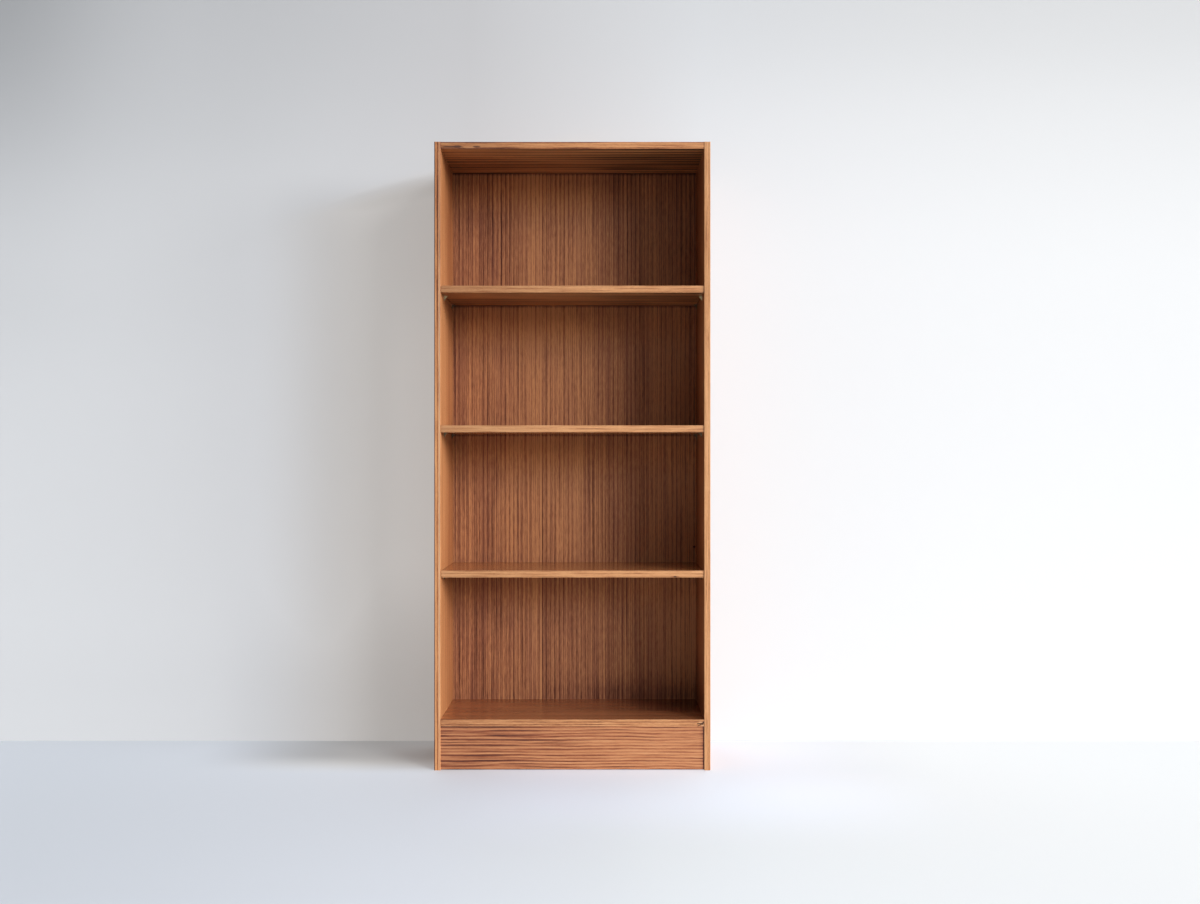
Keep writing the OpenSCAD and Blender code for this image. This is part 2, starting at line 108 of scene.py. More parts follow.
# a node tree and what is added to it
class Shading:
    def __init__(self, tree):
        self.tree = tree
        tree.nodes.clear()

    # a socket takes a link or a plain value
    def give(self, socket, value):
        if isinstance(value, Reading):
            self.tree.links.new(value.socket, socket)
        else:
            socket.default_value = value

    # any node: its type, its settings, the values or links of its sockets, and the output that is read
    def add(self, kind, settings, feeds, out=0):
        node = self.tree.nodes.new(kind)
        for name, value in settings.items():
            if name == "stops":
                for stop in range(len(value) - 2):
                    node.color_ramp.elements.new(0.5)
                for element, (spot, colour) in zip(node.color_ramp.elements, value):
                    element.position, element.color = spot, colour
            else:
                setattr(node, name, value)
        for name, value in feeds.items():
            self.give(node.inputs[name], value)
        return Reading(self, node.outputs[out])

    # smooth noise from 0 to 1 about 0.5, at a point already scaled
    def noise(self, x, y, z=0.0, detail=2.0, rough=0.5):
        point = self.add("ShaderNodeCombineXYZ", {}, {"X": x, "Y": y, "Z": z})
        return self.add("ShaderNodeTexNoise", {"noise_dimensions": "3D"},
                        {"Vector": point, "Scale": 1.0, "Detail": detail, "Roughness": rough})

    # two colours mixed; the node keeps its colours at sockets 6 and 7 and gives them at output 2
    def mixed(self, share, under, over, way="MIX"):
        return self.add("ShaderNodeMix", {"data_type": "RGBA", "blend_type": way}, {0: share, 6: under, 7: over}, 2)

    def ramp(self, share, stops):
        return self.add("ShaderNodeValToRGB", {"stops": stops}, {"Fac": share})

    # 1 where the camera, gloss or glass sees it, 0 for the light that it gives to other things
    def shownTo(self):
        rays = ("Is Camera Ray", "Is Glossy Ray", "Is Transmission Ray")
        return highest([self.add("ShaderNodeLightPath", {}, {}, ray) for ray in rays])


# one material: its shader and its object coordinates
class Finish(Shading):
    def __init__(self, name, **values):
        self.material = bpy.data.materials.new(name)
        self.material.use_nodes = True
        super().__init__(self.material.node_tree)
        self.shader = self.tree.nodes.new("ShaderNodeBsdfPrincipled")
        self.out = self.tree.nodes.new("ShaderNodeOutputMaterial")
        self.tree.links.new(self.shader.outputs["BSDF"], self.out.inputs["Surface"])
        self.feed(**values)
        where = self.add("ShaderNodeTexCoord", {}, {}, "Object")
        self.x, self.y, self.z = (self.add("ShaderNodeSeparateXYZ", {}, {"Vector": where}, axis) for axis in "XYZ")

    # the shader's own sockets
    def feed(self, **values):
        for name, value in values.items():
            self.give(self.shader.inputs[name.replace("_", " ")], value)

    # relief of a height from 0 to 1, so many metres deep
    def bump(self, height, depth, strength):
        self.feed(Normal=self.add("ShaderNodeBump", {}, {"Strength": strength, "Distance": depth, "Height": height}))

    # on nodes, by their names, and on objects
    def on(self, *names):
        for name in names:
            piece = nodes[name] if isinstance(name, str) else name
            piece.data.materials.clear()
            piece.data.materials.append(self.material)

    # a zone, 1 inside and 0 outside: the product of rises, each given as its axis and the places of its start and end
    def zone(self, spans):
        return math.prod(getattr(self, axis).rise(start, end) for axis, start, end in spans)

    # the sum of several zones, each of them after the amount that it adds
    def zones(self, table):
        return sum(self.zone(spans) * amount for amount, *spans in table)

    # a colour tinted in zones: each multiplies it by its own tint
    def tinted(self, colour, table):
        for tint, *spans in table:
            colour = self.mixed(self.zone(spans), colour, tint + (1.0,), "MULTIPLY")
        return colour


# what the woods have in common
woodLook = {
    "waver": (9.0, 0.35),       # how often drawn lines stray, across the grain and along it
    "apart": 7.37,              # keeps the strengths of two lines next to each other apart
    "drawn": (0.25, 0.72),      # the noise at which a line begins to show and is full
    "poresFrom": (0.60, 0.72),  # the same for pores
    "poresLie": 0.6,            # how deep pores lie beside the fibres' relief
    "seedStep": 900.0,          # a seed for each spacing of lines
    "edge": 0.0002,             # metres over which a face turns into a cut edge
}


# lines drawn along the grain: a rise to the dark edge and a fall after it, as wide as the form says; each line has
# its own strength, which comes and goes along its length
def rings(finish, along, across, spacing, wander, fade, seed, form, steady):
    often, seldom = woodLook["waver"]
    count = across * (1.0 / spacing) + (finish.noise(across * often, along * seldom, seed) - 0.5) * wander
    nearest = (count + 0.5).floor()
    off = count - nearest
    weight = finish.noise(nearest * woodLook["apart"], along * fade, seed + 0.5, 1.0).rise(*woodLook["drawn"])
    return off.rise(form[0], 0.0) * off.rise(form[1], 0.0) * (weight * (1.0 - steady) + steady)


# noise drawn out along the grain, by an entry (strength, how often it changes along the grain, how often across it)
def cloud(finish, along, across, deep, entry, seed, detail=2.0, rough=0.5):
    often, fine = entry[1:]
    return finish.noise(along * often, across * fine, deep * fine + seed, detail, rough)


# how dark the wood is at a place: slow patches, broad bands, drawn lines, fibres and short pores; what is added to
# the seed keeps one noise apart from another
def grain(finish, along, across, deep, look):
    seed = look["seed"]
    bend = cloud(finish, along, across, deep, look["bend"], seed) - 0.5
    waves = cloud(finish, along, across, deep, look["waves"], seed + 1.7) - 0.5
    side = across + bend * look["bend"][0] + waves * look["waves"][0]
    patch = cloud(finish, along, side, deep, look["patches"], seed + 3.1) - 0.5
    bands = cloud(finish, along, side, deep, look["bands"], seed) - 0.5
    fibre = cloud(finish, along, side, deep, look["fibres"], seed, 3.0, 0.6) - 0.5
    pores = cloud(finish, along, side, deep, look["pores"], seed + 5.3, 1.0).rise(*woodLook["poresFrom"])
    dark = look["level"] + patch * look["patches"][0] + bands * look["bands"][0]
    dark = dark + fibre * look["fibres"][0] + pores * look["pores"][0]
    for spacing, strength, wander, form in look["rings"]:
        dark = dark + strength * rings(finish, along, side, spacing, wander, look["ringLength"],
                                       seed + spacing * woodLook["seedStep"], form, look["steady"])
    return dark, fibre, pores


# how the wood takes light: roughness = level + shares of fibres and pores, height = fibres - pores, and more of both
def surfaced(finish, look, fibre, pores, dull=0.0, raised=0.0):
    level, fibreShare, poreShare = look["rough"]
    finish.feed(Roughness=level + fibre * fibreShare + pores * poreShare + dull)
    finish.bump(fibre - pores * woodLook["poresLie"] + raised, *look["relief"])


# chipboard as a cut edge shows it: flakes of several tones, crossed by the thin veneers' ends
chipLook = {
    "flakes": (420.0, 300.0, 420.0), "from": (0.3, 0.7),
    "stops": [(0.0, tone(116, 84, 54)), (0.35, tone(168, 128, 88)), (0.6, tone(196, 158, 114)),
              (1.0, tone(222, 190, 148))],
    "line": 0.0001,   # half of the line between chips and veneer
}


# a face's colour, and chipboard where the edge is cut and off, the distance from the board's middle, is in the core
def cutEdge(finish, face, cut, off, core):
    across, through, up = chipLook["flakes"]
    flakes = finish.noise(finish.x * across, finish.y * through, finish.z * up, 3.0, 0.6).rise(*chipLook["from"])
    inside = abs(off).rise(core + chipLook["line"], core - chipLook["line"])
    return finish.mixed(cut * inside, face, finish.ramp(flakes, chipLook["stops"]))


# wood of the uprights' faces: upright grain, quiet and warm; all other woods start from it
sideVeneer = {
    "seed": 2.0, "sheen": 0.22, "level": 0.43,
    # marks and bends of the grain: strength, how often they change in a metre along the grain, how often across it
    "patches": (0.35, 1.3, 6.0), "bands": (0.55, 0.6, 55.0),
    "fibres": (0.30, 14.0, 620.0), "pores": (0.14, 110.0, 2000.0),
    "bend": (0.012, 1.3, 5.0), "waves": (0.0022, 9.0, 14.0),
    # drawn lines: metres apart, strength, how far they stray, and how wide they are before and after the dark edge
    "rings": [(0.0125, 0.20, 2.0, (-0.55, 0.3)), (0.0052, 0.12, 3.0, (-0.5, 0.4))],
    "ringLength": 2.4, "steady": 0.0,   # how often the lines fade, and the share of them that never does
    "rough": (0.42, 0.12, 0.08), "relief": (0.00015, 0.4),
    # painted shade: darker towards the top, and all over the right side panel
    "shade": [(0.10, ("z", 1.1, 1.85)), (0.13, ("x", 0.0, 0.3))],
    # the inside begins so far from the middle, and has broad stripes: strength, and how often they change each way
    "inner": (0.3905, 0.3895), "stripes": (0.28, 0.5, 22.0, 3.0),
    # painted shade on the inner faces: darker towards the rear, and on the right panel, most of all at its foot
    "innerShade": [(0.23, ("y", -0.12, 0.13)), (0.04, ("x", 0.0, 0.3)), (0.25, ("x", 0.0, 0.3), ("z", 0.36, 0.16))],
    # the places of the cut edges, the middle of the thickness and half of its chipboard
    "rear": 0.1498, "foot": 0.0003, "middle": 0.391, "core": 0.0083,
    "stops": [(0.0, tone(220, 160, 108)), (0.45, tone(202, 140, 92)), (0.8, tone(158, 97, 58)),
              (1.0, tone(104, 56, 34))],
}
upright = Finish("uprightVeneer", Specular_IOR_Level=sideVeneer["sheen"])
dark, fibre, pores = grain(upright, upright.z, upright.y, upright.x, sideVeneer)
strength, often, fine, through = sideVeneer["stripes"]
stripes = upright.noise(upright.z * often, upright.y * fine, upright.x * through) - 0.5
inner = abs(upright.x).rise(*sideVeneer["inner"])
dark = dark + upright.zones(sideVeneer["shade"])
dark = dark + inner * (upright.zones(sideVeneer["innerShade"]) + stripes * strength)
rear, foot, edge = sideVeneer["rear"], sideVeneer["foot"], woodLook["edge"]
cut = upright.y.rise(rear - edge, rear).higher(upright.z.rise(foot + edge, foot))
face = upright.ramp(dark, sideVeneer["stops"])
upright.feed(Base_Color=cutEdge(upright, face, cut, abs(upright.x) - sideVeneer["middle"], sideVeneer["core"]))
surfaced(upright, sideVeneer, fibre, pores)
upright.on("side_panel_left", "side_panel_right")

# wood of the level boards: grain along their length, satin; livelier on the undersides and calmer on the upper faces
boardVeneer = dict(
    sideVeneer, seed=11.0, sheen=0.4, level=0.20, patches=(0.3, 1.3, 6.0), bands=(1.8, 0.6, 44.0),
    rings=[(0.027, 0.62, 1.2, (-0.6, 0.25)), (0.0155, 0.46, 2.0, (-0.5, 0.4)), (0.0062, 0.24, 3.0, (-0.5, 0.4))],
    rough=(0.32, 0.08, 0.08), relief=(0.00012, 0.35), shade=[],
    # the upper faces are drawn towards a tone; elsewhere the contrast grows to the right
    upper=[(1.0, ("z", 1.8188, 1.8194)), (1.0, ("z", 1.4028, 1.4034), ("z", 1.5, 1.48))], calm=(0.36, 0.70),
    lively=(1.8, ("x", -0.05, 0.20)),
    # painted light and shade on the undersides: paler about the middle, darker along the rear edge beside the back
    under=[(-0.11, ("x", -0.22, -0.02), ("x", 0.20, 0.04)), (0.22, ("y", 0.118, 0.131))],
    middle=1.810, core=0.0093,   # of the top board, whose rear edge is the only one in sight
    boards=("top_board", "upper_shelf_board"),
    stops=[(0.0, tone(202, 142, 92)), (0.4, tone(172, 113, 70)), (0.75, tone(124, 76, 46)), (1.0, tone(64, 35, 20))])
quietVeneer = dict(
    boardVeneer, seed=13.0, level=0.36, bands=(0.40, 0.6, 34.0), upper=[],
    rings=[(0.0155, 0.14, 2.0, (-0.5, 0.4)), (0.0062, 0.14, 3.0, (-0.5, 0.4))],
    # painted shade: darker towards the right rear
    rough=(0.17, 0.0425, 0.0425), shade=[(0.10, ("x", 0.05, 0.38), ("y", -0.12, 0.08))],
    boards=("lower_shelf_board", "middle_shelf_board"))
bottomVeneer = dict(
    quietVeneer, sheen=0.6, level=0.44, bands=(0.40, 0.6, 22.0),
    rings=[(0.047, 0.14, 1.0, (-0.6, 0.3)), (0.0155, 0.08, 2.0, (-0.5, 0.4))],
    # the same painted shade, stronger
    rough=(0.12, 0.03, 0.03), shade=[(0.42, ("x", 0.05, 0.38), ("y", -0.12, 0.08))],
    boards=("bottom_board",),
    stops=[(0.0, tone(204, 138, 94)), (0.4, tone(174, 111, 73)), (0.75, tone(126, 74, 49)), (1.0, tone(60, 31, 20))])
levelVeneers = {"boardVeneer": boardVeneer, "quietBoardVeneer": quietVeneer, "bottomBoardVeneer": bottomVeneer}
for name, look in levelVeneers.items():
    board = Finish(name, Specular_IOR_Level=look["sheen"])
    dark, fibre, pores = grain(board, board.x, board.y, board.z, look)
    if look["upper"]:
        upper = board.zones(look["upper"])
        amount, *spans = look["lively"]
        lively = (dark - 0.5) * board.zone(spans) * amount + board.zones(look["under"])
        calmTone, calmShare = look["calm"]
        dark = dark + lively * (1.0 - upper) + (calmTone - dark) * upper * calmShare
    dark = dark + board.zones(look["shade"])
    cut = board.y.rise(look["rear"] - woodLook["edge"], look["rear"])
    face = board.ramp(dark, look["stops"])
    board.feed(Base_Color=cutEdge(board, face, cut, board.z - look["middle"], look["core"]))
    surfaced(board, look, fibre, pores)
    board.on(*look["boards"])


# knots, chips and cracks on a front: how ragged a knot's rim is, how often that changes sideways and upward, and
# where the rim starts and is full; how far a crack strays, how often, and the share of its width that is full
markLook = {"ragged": 0.9, "often": (60.0, 500.0), "rim": (1.0, 0.45)}
strokeLook = {"stray": 0.0012, "often": 500.0, "full": 0.2}


# how much of a drawn-out mark covers a place: 1 on its middle, 0 outside its half length and half height, ragged
def mark(finish, middle, half, seed):
    often, fine = markLook["often"]
    ragged = (finish.noise(finish.x * often, finish.z * fine, seed) - 0.5) * markLook["ragged"]
    aside, upward = (finish.x - middle[0]) * (1.0 / half[0]), (finish.z - middle[1]) * (1.0 / half[1])
    return (aside ** 2.0 + upward ** 2.0 + ragged).rise(*markLook["rim"])


# how much of a fine crack covers a place, drawn from one point to another: by the distance to that stroke
def stroke(finish, start, end, wide, seed):
    length = math.dist(start, end)
    ux, uz = (end[0] - start[0]) / length, (end[1] - start[1]) / length
    often = strokeLook["often"]
    wander = (finish.noise(finish.x * often, finish.z * often, seed) - 0.5) * strokeLook["stray"]
    along = (finish.x - start[0]) * ux + (finish.z - start[1]) * uz
    past = (along - length).higher(0.0) + (0.0 - along).higher(0.0)
    aside = (finish.x - start[0]) * -uz + (finish.z - start[1]) * ux + wander
    return (aside * aside + past * past).rise(wide ** 2, wide ** 2 * strokeLook["full"])


# how much of a place several marks or strokes cover, each with a seed of its own
def covered(finish, draw, seed, spots):
    return highest([draw(finish, *spot, seed + turn) for turn, spot in enumerate(spots)])


# painted shade: a lying strip is darker towards the case's left end, from a start on
leftShadeLook = {"end": -0.4, "tone": tone(70, 36, 22)}


def shadedLeftward(finish, colour, most, start):
    return finish.mixed(finish.x.rise(start, leftShadeLook["end"]) * most, colour, leftShadeLook["tone"])


# the solid strips on the front edges: edges are the places of a strip's two sides, and front its depth; halo is a
# dark ring round a knot; marks are painted one after the other, each with its tone, share, kind, seed and places
stripWood = dict(
    sideVeneer, sheen=0.28, level=0.17, patches=(0.5, 1.3, 6.0), bands=(0.8, 13.0, 230.0),
    fibres=(0.95, 90.0, 1300.0), bend=(0.004, 1.3, 5.0), waves=(0.0012, 24.0, 14.0),
    rings=[(0.0078, 0.38, 1.5, (-0.55, 0.25)), (0.0034, 0.30, 2.0, (-0.5, 0.4))], ringLength=9.0,
    rough=(0.38, 0.12, 0.08), lies=True, front=-0.147, shade=[], halo=[], marks=[],
    pale=[], highlightTone=tone(218, 194, 168),
    stops=[(0.0, tone(236, 180, 129)), (0.4, tone(212, 152, 104)), (0.8, tone(165, 104, 67)), (1.0, tone(88, 50, 38))])
# the top and the left strips are redder
redStops = [(0.0, tone(231, 171, 118)), (0.4, tone(207, 144, 96)), (0.8, tone(162, 99, 63)), (1.0, tone(86, 48, 35))]
# the left strip's inner arris, where a highlight is painted
arris = (("x", -0.3871, -0.3863), ("x", -0.3840, -0.3848))   # the left strip's inner one
strips = {
    "middle_shelf_lipping": dict(
        stripWood, name="middleLippingWood", seed=5.0, edges=(0.979, 0.999), leftShade=(0.28, 0.1)),
    "upper_shelf_lipping": dict(
        stripWood, name="upperLippingWood", seed=15.0, edges=(1.384, 1.404), leftShade=(0.36, 0.2), level=0.27),
    # a small knot near the right end, on the lower edge
    "lower_shelf_lipping": dict(
        stripWood, name="lowerLippingWood", seed=25.0, edges=(0.558, 0.578), leftShade=(0.20, 0.15), level=0.18,
        halo=[(0.25, 3.0, [((0.2978, 0.5606), (0.016, 0.0036))])],
        marks=[(tone(58, 30, 24), 1.0, mark, 2.0, [((0.2978, 0.5606), (0.0052, 0.0020))])]),
    # a short forked crack with pale chips beside it at the right end
    "bottom_lipping": dict(
        stripWood, name="bottomLippingWood", seed=35.0, edges=(0.127, 0.147), front=-0.149, leftShade=(0.14, 0.3),
        level=0.38,
        shade=[(0.4, ("x", 0.3803, 0.3815)), (0.4, ("x", -0.3803, -0.3815))],
        marks=[(tone(232, 190, 146), 0.7, mark, 16.0,
                [((0.3708, 0.1394), (0.0060, 0.0018)), ((0.3778, 0.1298), (0.0050, 0.0016))]),
               (tone(44, 22, 18), 0.9, stroke, 6.0,
                [((0.3620, 0.1348), (0.3790, 0.1358), 0.0019), ((0.3765, 0.1340), (0.3812, 0.1402), 0.0027),
                 ((0.3632, 0.1280), (0.3735, 0.1335), 0.0017)])]),
    # darker, most of all along its upper edge; painted shade along its lower edge and painted light towards the right;
    # dark joint lines at its ends; with drawn-out dark knots near the left end
    "top_lipping": dict(
        stripWood, name="topLippingWood", seed=31.0, edges=(1.800, 1.820), front=-0.149, leftShade=(0.30, 0.05),
        level=0.38,
        shade=[(0.40, ("z", 1.8172, 1.8194)), (0.26, ("z", 1.8075, 1.8010)), (-0.14, ("x", -0.05, 0.15)),
               (0.55, ("x", 0.3797, 0.3813)), (0.55, ("x", -0.3797, -0.3813))],
        marks=[(tone(222, 168, 122), 0.5, mark, 12.0, [((-0.2990, 1.8030), (0.020, 0.0012))]),
               (tone(66, 38, 34), 0.9, mark, 8.0,
                [((-0.3340, 1.8064), (0.015, 0.0038)), ((-0.3470, 1.8058), (0.036, 0.0022)),
                 ((-0.2772, 1.8060), (0.013, 0.0025))])],
        stops=redStops),
    # a dark line down the middle; painted shade on the outer arris and towards the top and the foot; a painted
    # highlight on the inner arris, weaker at the top and the foot
    "side_lipping_left": dict(
        stripWood, name="leftLippingWood", seed=9.0, edges=(-0.400, -0.382), front=-0.150, lies=False, level=0.08,
        shade=[(0.46, ("x", -0.3918, -0.3906), ("x", -0.3882, -0.3894)), (0.75, ("x", -0.3968, -0.3988)),
               (0.26, ("z", 0.5, 1.8)), (0.16, ("z", 1.30, 1.75)), (0.10, ("z", 0.7, 0.1))],
        pale=[(0.62, *arris), (-0.36, *arris, ("z", 1.25, 1.70)), (-0.30, *arris, ("z", 0.30, 0.05))],
        stops=redStops),
    "side_lipping_right": dict(
        stripWood, name="rightLippingWood", seed=41.0, edges=(0.382, 0.400), front=-0.150, lies=False, level=0.15,
        # painted shade: a little darker upward
        shade=[(0.04, ("z", 0.8, 1.85))]),
}
# the two front arrises are rubbed paler and duller in broken lengths: how far in that starts and is full, from the
# sides and from the front, how often it breaks off, and what it does
rubLook = {"aside": (0.0010, 0.0002), "behind": (0.0010, 0.0003), "often": (34.0, 80.0), "broken": (0.42, 0.62),
           "pale": 0.16, "dull": 0.18, "raised": 0.8}
for node, look in strips.items():
    finish = Finish(look["name"], Specular_IOR_Level=look["sheen"])
    along, across = (finish.x, finish.z) if look["lies"] else (finish.z, finish.x)
    dark, fibre, pores = grain(finish, along, across, finish.y, look)
    (low, high), front, (start, full) = look["edges"], look["front"], rubLook["aside"]
    beside = across.rise(high - start, high - full).higher(across.rise(low + start, low + full))
    start, full = rubLook["behind"]
    often, fine = rubLook["often"]
    broken = finish.noise(along * often, across * fine, look["seed"]).rise(*rubLook["broken"])
    rubbed = beside * finish.y.rise(front + start, front + full) * broken
    surfaced(finish, look, fibre, pores, rubbed * rubLook["dull"], rubbed * rubLook["raised"])
    dark = dark - rubbed * rubLook["pale"] + finish.zones(look["shade"])
    for amount, seed, spots in look["halo"]:
        dark = dark + covered(finish, mark, seed, spots) * amount
    colour = finish.ramp(dark, look["stops"])
    if look["lies"]:
        colour = shadedLeftward(finish, colour, *look["leftShade"])
    if look["pale"]:
        colour = finish.mixed(finish.zones(look["pale"]), colour, look["highlightTone"])
    for paint, share, draw, seed, spots in look["marks"]:
        colour = finish.mixed(covered(finish, draw, seed, spots) * share, colour, paint)
    finish.feed(Base_Color=colour)
    finish.on(node)

# the plinth: coarse lying grain with dark drawn-out streaks, most of them at its left
plinthWood = dict(
    sideVeneer, seed=17.0, sheen=0.35, level=0.225, patches=(0.5, 1.3, 6.0), bands=(0.7, 7.0, 210.0),
    fibres=(0.5, 36.0, 620.0), bend=(0.013, 2.8, 5.0), waves=(0.0040, 10.0, 14.0),
    rings=[(0.0088, 0.50, 1.2, (-0.36, 0.26)), (0.0041, 0.32, 2.0, (-0.45, 0.35))], ringLength=6.0, steady=0.2,
    # streaks: metres apart, strength, how far they stray, how often they fade, their width and their seed
    streaks=(0.0142, 0.66, 1.0, 4.4, (-0.55, 0.22), 4.4), streakZones=[(0.90, ("x", 0.12, -0.22))], streakLeast=0.10,
    streakBends=[(0.014, 2.8, 5.0, 3.0), (0.004, 8.0, 14.0, 9.0)],
    # painted shade: darker towards the left and near the right end, a painted shadow at the right end where the side
    # panel shades it, and darker along the lower edge
    shade=[(0.13, ("x", 0.35, -0.4)), (0.10, ("x", 0.362, 0.380)), (0.40, ("x", 0.3760, 0.3802)),
           (0.30, ("x", 0.3784, 0.3800)), (0.08, ("z", 0.0075, 0.0030))],
    scuffed=[(0.22, ("z", 0.0075, 0.0030))], scuffs=(22.0, 300.0, 71.0), scuffsFrom=(0.38, 0.62),   # along the floor
    # painted shade towards the left end, as on the strips
    leftShade=(0.12, 0.2), relief=(0.0002, 0.5), darkLies=0.5,
    stops=[(0.0, tone(226, 169, 121)), (0.4, tone(200, 135, 92)), (0.75, tone(150, 85, 56)), (1.0, tone(86, 44, 34))])
plinth = Finish("plinthVeneer", Specular_IOR_Level=plinthWood["sheen"])
dark, fibre, pores = grain(plinth, plinth.x, plinth.z, plinth.y, plinthWood)
side = plinth.z
for far, often, fine, seed in plinthWood["streakBends"]:
    side = side + (plinth.noise(plinth.x * often, plinth.z * fine, seed) - 0.5) * far
spacing, strength, wander, fade, form, seed = plinthWood["streaks"]
streak = rings(plinth, plinth.x, side, spacing, wander, fade, seed, form, 0.0)
dark = dark + streak * strength * (plinthWood["streakLeast"] + plinth.zones(plinthWood["streakZones"]))
often, fine, seed = plinthWood["scuffs"]
scuff = plinth.noise(plinth.x * often, plinth.z * fine, seed).rise(*plinthWood["scuffsFrom"])
dark = dark + plinth.zones(plinthWood["shade"]) + plinth.zones(plinthWood["scuffed"]) * scuff
plinth.feed(Base_Color=shadedLeftward(plinth, plinth.ramp(dark, plinthWood["stops"]), *plinthWood["leftShade"]))
surfaced(plinth, plinthWood, fibre, pores, 0.0, dark * -plinthWood["darkLies"])
plinth.on("plinth_board")

# the back: leaves of striped upright veneer laid side by side, each darker at its left edge
# the boards' undersides, and how much the painted light makes the back paler under each, at its left
undersides = {1.800: -0.20, 1.384: -0.13, 0.979: -0.11, 0.558: -0.03}


# a zone under a board: it starts and is full so far under it, and ends just over the board's lower face
def under(top, start, full):
    return ("z", top - start, top - full), ("z", top + 0.004, top)


backVeneer = dict(
    sideVeneer, seed=23.0, sheen=0.06, level=0.13, patches=(0.20, 1.3, 6.0), bands=(0.72, 1.6, 170.0),
    fibres=(0.95, 42.0, 480.0), bend=(0.005, 1.6, 5.0), waves=(0.0026, 14.0, 14.0),
    rings=[(0.0136, 0.42, 1.0, (-0.5, 0.5)), (0.0068, 0.30, 1.6, (-0.5, 0.5)), (0.0031, 0.22, 2.0, (-0.5, 0.5))],
    ringLength=3.0, steady=0.30, rough=(0.45, 0.12, 0.08), relief=(0.0002, 0.4),
    leaf=0.198, seam=-0.1025,        # a leaf's width, and where one of the seams is
    leafFall=0.12, leafDepth=0.011,  # how much darker a leaf is at its left, and how far apart two leaves' grains are
    shade=[
        # painted shade: darker at the top, at the foot towards the right, and in the lowest space towards the left
        (0.10, ("z", 1.2, 1.85)), (0.30, ("z", 0.25, 0.15), ("x", -0.25, 0.25)),
        (0.07, ("z", 0.58, 0.50), ("x", 0.20, 0.0)),
        # the leaves' own tones, from left to right
        (-0.12, ("x", -0.3009, -0.3005)), (-0.07, ("x", -0.27, -0.20)), (0.04, ("x", -0.1027, -0.1023)),
        (0.03, ("x", 0.0955, 0.0959)), (-0.04, ("x", 0.05, 0.12)), (-0.07, ("x", 0.18, 0.25)),
        (-0.10, ("x", 0.2938, 0.2942)),
        # paler and darker areas
        (-0.07, ("x", -0.262, -0.240), ("x", -0.175, -0.195), ("z", 0.55, 0.65), ("z", 1.42, 1.36)),
        (-0.06, ("x", 0.10, 0.0), ("z", 0.56, 0.62), ("z", 0.90, 0.80)),
        (-0.07, ("x", -0.105, -0.065), ("x", 0.085, 0.045), ("z", 0.58, 0.66), ("z", 1.78, 1.70)),
        (-0.09, ("x", -0.355, -0.315), ("x", -0.250, -0.290), ("z", 0.94, 1.02), ("z", 1.40, 1.32)),
        (0.05, ("x", -0.29, -0.25), ("x", -0.12, -0.16), ("z", 1.42, 1.50), ("z", 1.78, 1.70)),
    ]
    # painted light and shade under each board: paler at the left, darker at the right, and a painted shadow line where
    # the board meets the back
    + [(pale, ("x", 0.17, -0.06), *under(top, 0.16, 0.04)) for top, pale in undersides.items()]
    + [(0.11, ("x", 0.18, 0.32), *under(top, 0.16, 0.04)) for top in undersides]
    + [(0.35, *under(top, 0.0075, 0.0015)) for top in undersides],
    underBoards=[(1.0, *under(top, 0.16, 0.04)) for top in undersides],
    # the painted shade under each board is tinted warmer
    underShadeTint=(1.06, 0.99, 0.86, 1.0),
    # broad stripes: strength, then how often each changes upward and across, and its seed
    broad=(0.42, [(0.5, 26.0, 61.0), (0.4, 10.0, 62.0)]),
    # upright lines, which stray by a noise: place, half width and strength; widths are where a line starts and is full
    stray=(0.006, 3.0, 8.0, 44.0), darkWidth=(1.6, 0.4), darkZone=[("z", 1.30, 0.95)],
    darkLines=[(-0.3140, 0.0011, 0.30), (-0.2530, 0.0016, 0.34), (-0.1015, 0.0013, 0.30)],
    paleLine=(-0.1065, 0.0036, 0.18), paleWidth=(1.5, 0.5), paleStray=0.3,
    # a dark spot painted on the back near the right side, over the lower shelf: painted shade that stands for a
    # support hole's dark inside
    spot=((0.3765, 0.6265), (0.0045, 0.0038), 81.0), spotDark=0.9,
    tint=(0.20, tone(134, 84, 72)), tintNoise=(2.0, 30.0, 77.0), tintFrom=(0.42, 0.68),
    # the rear face: its tone is a level with shares of the grain and the fibres
    rearZone=[("y", 0.1396, 0.1398)], rearShare=0.92, rearTone=(0.3, 0.4, 0.4),
    rearStops=[(0.0, tone(196, 160, 118)), (0.5, tone(160, 120, 84)), (1.0, tone(120, 84, 56))],
    stops=[(0.0, tone(196, 138, 95)), (0.35, tone(153, 101, 73)), (0.7, tone(110, 68, 52)), (1.0, tone(64, 35, 28))])
back = Finish("backVeneer", Specular_IOR_Level=backVeneer["sheen"])
place = (back.x - backVeneer["seam"]) * (1.0 / backVeneer["leaf"])
leaf = place.floor()
dark, fibre, pores = grain(back, back.z, (place - leaf) * backVeneer["leaf"], back.y + leaf * backVeneer["leafDepth"],
                           backVeneer)
plain = dark + (leaf + 0.5 - place) * backVeneer["leafFall"]
strength, stripes = backVeneer["broad"]
broad = sum(back.noise(back.z * often, back.x * fine, seed) - 0.5 for often, fine, seed in stripes)
dark = plain + back.zones(backVeneer["shade"]) + broad * strength
far, often, fine, seed = backVeneer["stray"]
wander = (back.noise(back.z * often, back.x * fine, seed) - 0.5) * far
wide, narrow = backVeneer["darkWidth"]
lower = back.zone(backVeneer["darkZone"])
for middle, half, strength in backVeneer["darkLines"]:
    line = abs(back.x + wander - middle).rise(half * wide, half * narrow)
    dark = dark + line * strength * lower
(middle, half, strength), (wide, narrow) = backVeneer["paleLine"], backVeneer["paleWidth"]
line = abs(back.x + wander * backVeneer["paleStray"] - middle).rise(half * wide, half * narrow)
dark = dark - line * strength + mark(back, *backVeneer["spot"]) * backVeneer["spotDark"]
(share, tint), (often, fine, seed) = backVeneer["tint"], backVeneer["tintNoise"]
